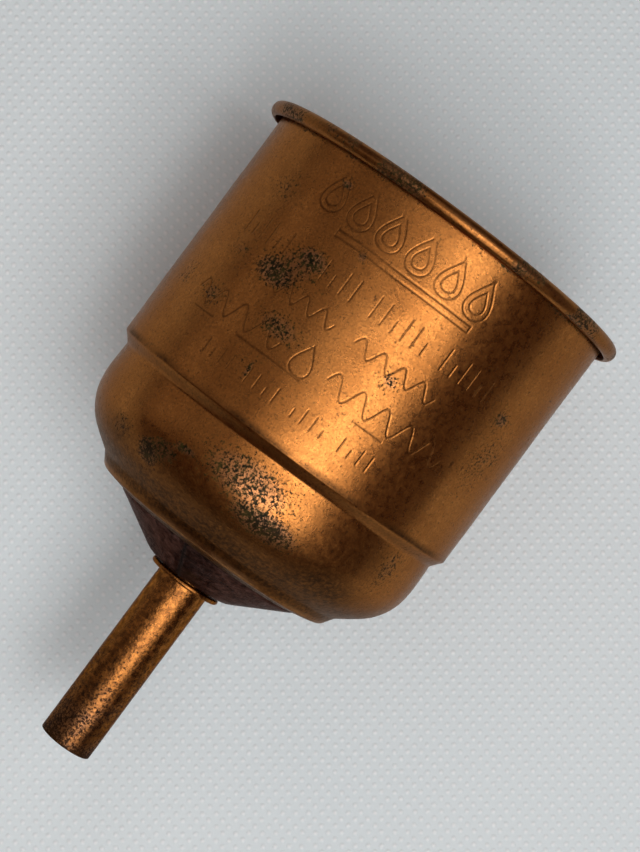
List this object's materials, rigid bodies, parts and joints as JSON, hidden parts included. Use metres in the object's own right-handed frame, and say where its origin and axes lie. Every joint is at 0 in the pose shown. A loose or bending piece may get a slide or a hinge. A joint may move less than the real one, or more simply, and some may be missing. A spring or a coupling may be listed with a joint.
{
  "type": "filter funnel",
  "caption": "Small copper funnel for liquid fuel: straight cup with curled rim, stepped shoulder, cone, tube spout and lift-out felt strainer.",
  "frame": {"origin": "on the funnel's axis, in the plane of the collar's lower face, where the funnel seats on a filler neck", "axes": "+Z along the funnel's axis from the spout towards the mouth, which is up in use; -Y towards the marked side of the cup; +X to the right of that side"},
  "size_m": [0.0702, 0.0702, 0.1067],
  "materials": {
    "body_copper": "satin, aged copper with patina spots",
    "cone_copper": "dull, dark oxidised copper",
    "spout_copper": "satin, mottled brown copper",
    "solder": "dull soft solder",
    "plate_brass": "satin brass",
    "gauze_brass": "fine woven brass wire",
    "felt": "pressed wool felt",
    "spring_steel": "drawn spring wire"
  },
  "bodies": {
    "funnel": {"body_shell": "body_copper", "bottom_cone": "cone_copper", "brim_solder": "solder", "spout_tube": "spout_copper", "spout_collar": "spout_copper", "spout_solder": "solder"},
    "plate": {"support_plate": "plate_brass"},
    "pad": {"felt_pad": "felt"},
    "screen": {"gauze_binding": "plate_brass", "gauze_screen": "gauze_brass"},
    "ring": {"retaining_ring": "spring_steel"}
  },
  "joints": [
    {"name": "plate_lift", "type": "slide", "parent": "funnel", "child": "plate", "axis": [0, 0, 1], "range_m": [0, 0.05]},
    {"name": "pad_lift", "type": "slide", "parent": "plate", "child": "pad", "axis": [0, 0, 1], "range_m": [0, 0.048]},
    {"name": "screen_lift", "type": "slide", "parent": "pad", "child": "screen", "axis": [0, 0, 1], "range_m": [0, 0.048]},
    {"name": "ring_lift", "type": "slide", "parent": "screen", "child": "ring", "axis": [0, 0, 1], "range_m": [0, 0.048]}
  ]
}
